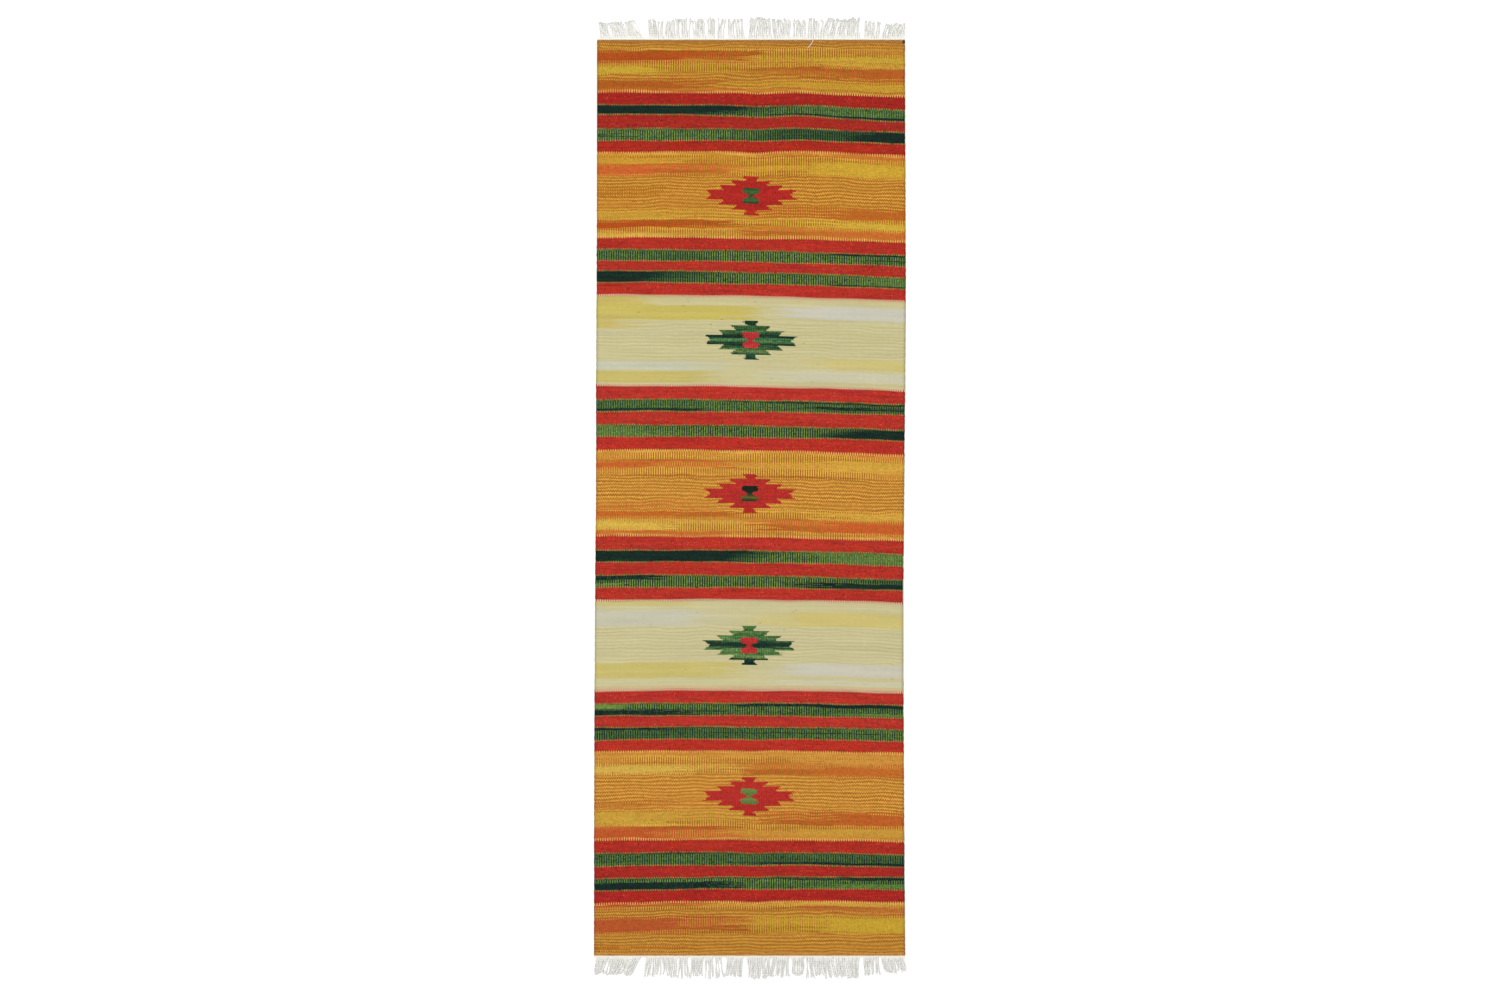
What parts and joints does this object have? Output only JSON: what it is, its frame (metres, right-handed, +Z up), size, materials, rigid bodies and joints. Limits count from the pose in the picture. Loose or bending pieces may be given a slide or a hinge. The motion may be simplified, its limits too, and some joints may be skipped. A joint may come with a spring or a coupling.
{
  "type": "runner rug",
  "caption": "Flat-woven wool runner rug with red, green, orange and cream cross stripes, stepped diamond medallions and a cotton fringe at each end.",
  "frame": {"origin": "middle of the footprint, on the floor under the rug", "axes": "+X across the rug's width, +Y along its length, +Z up"},
  "size_m": [0.81, 2.5148, 0.003],
  "materials": {
    "wool_red": "matte wool weft, plain weft-faced weave",
    "wool_green": "matte wool weft, dark green to light green along a stripe",
    "wool_orange": "matte wool weft, orange with yellow and rust streaks",
    "wool_cream": "matte wool weft, cream with yellow and grey-white streaks",
    "cotton": "matte undyed cotton"
  },
  "bodies": {
    "middle": {"stripe_2_green_a": "wool_green", "stripe_2_red_b": "wool_red", "stripe_2_green_b": "wool_green", "stripe_2_red_c": "wool_red", "band_cream_1": "wool_cream", "stripe_3_red_a": "wool_red", "stripe_3_green_a": "wool_green", "stripe_3_red_b": "wool_red", "stripe_3_green_b": "wool_green", "stripe_3_red_c": "wool_red", "band_orange_2": "wool_orange", "stripe_4_red_a": "wool_red", "stripe_4_green_a": "wool_green", "stripe_4_red_b": "wool_red", "stripe_4_green_b": "wool_green", "stripe_4_red_c": "wool_red", "band_cream_2": "wool_cream", "stripe_5_red_a": "wool_red", "stripe_5_green_a": "wool_green", "stripe_5_red_b": "wool_red", "stripe_5_green_b": "wool_green", "medallion_2": "wool_green", "mark_2": "wool_red", "medallion_3": "wool_red", "mark_3": "wool_green", "medallion_4": "wool_green", "mark_4": "wool_red", "warp_middle": "cotton", "selvedge_middle_left": "cotton", "selvedge_middle_right": "cotton"},
    "flap_a": {"band_end_a": "wool_orange", "stripe_1_red_a": "wool_red", "stripe_1_green_a": "wool_green", "stripe_1_red_b": "wool_red", "stripe_1_green_b": "wool_green", "stripe_1_red_c": "wool_red", "band_orange_1": "wool_orange", "stripe_2_red_a": "wool_red", "medallion_1": "wool_red", "mark_1": "wool_green", "end_cord_a": "cotton", "warp_flap_a": "cotton", "selvedge_flap_a_left": "cotton", "selvedge_flap_a_right": "cotton"},
    "flap_b": {"stripe_5_red_c": "wool_red", "band_orange_3": "wool_orange", "stripe_6_red_a": "wool_red", "stripe_6_green_a": "wool_green", "stripe_6_red_b": "wool_red", "stripe_6_green_b": "wool_green", "stripe_6_red_c": "wool_red", "band_end_b": "wool_orange", "medallion_5": "wool_red", "mark_5": "wool_green", "end_cord_b": "cotton", "warp_flap_b": "cotton", "selvedge_flap_b_left": "cotton", "selvedge_flap_b_right": "cotton"},
    "fringe_a_body": {"fringe_a": "cotton"},
    "fringe_b_body": {"fringe_b": "cotton"}
  },
  "joints": [
    {"name": "fold_a", "type": "hinge", "parent": "middle", "child": "flap_a", "pos_m": [0, 0.647, 0.0046], "axis": [1, 0, 0], "range_deg": [0, 180]},
    {"name": "fold_b", "type": "hinge", "parent": "middle", "child": "flap_b", "pos_m": [0, -0.635, 0.0046], "axis": [-1, 0, 0], "range_deg": [0, 180]},
    {"name": "fringe_flip_a", "type": "hinge", "parent": "flap_a", "child": "fringe_a_body", "pos_m": [0, 1.20515, 0.0029], "axis": [1, 0, 0], "range_deg": [0, 180]},
    {"name": "fringe_flip_b", "type": "hinge", "parent": "flap_b", "child": "fringe_b_body", "pos_m": [0, -1.20515, 0.0029], "axis": [-1, 0, 0], "range_deg": [0, 180]}
  ]
}
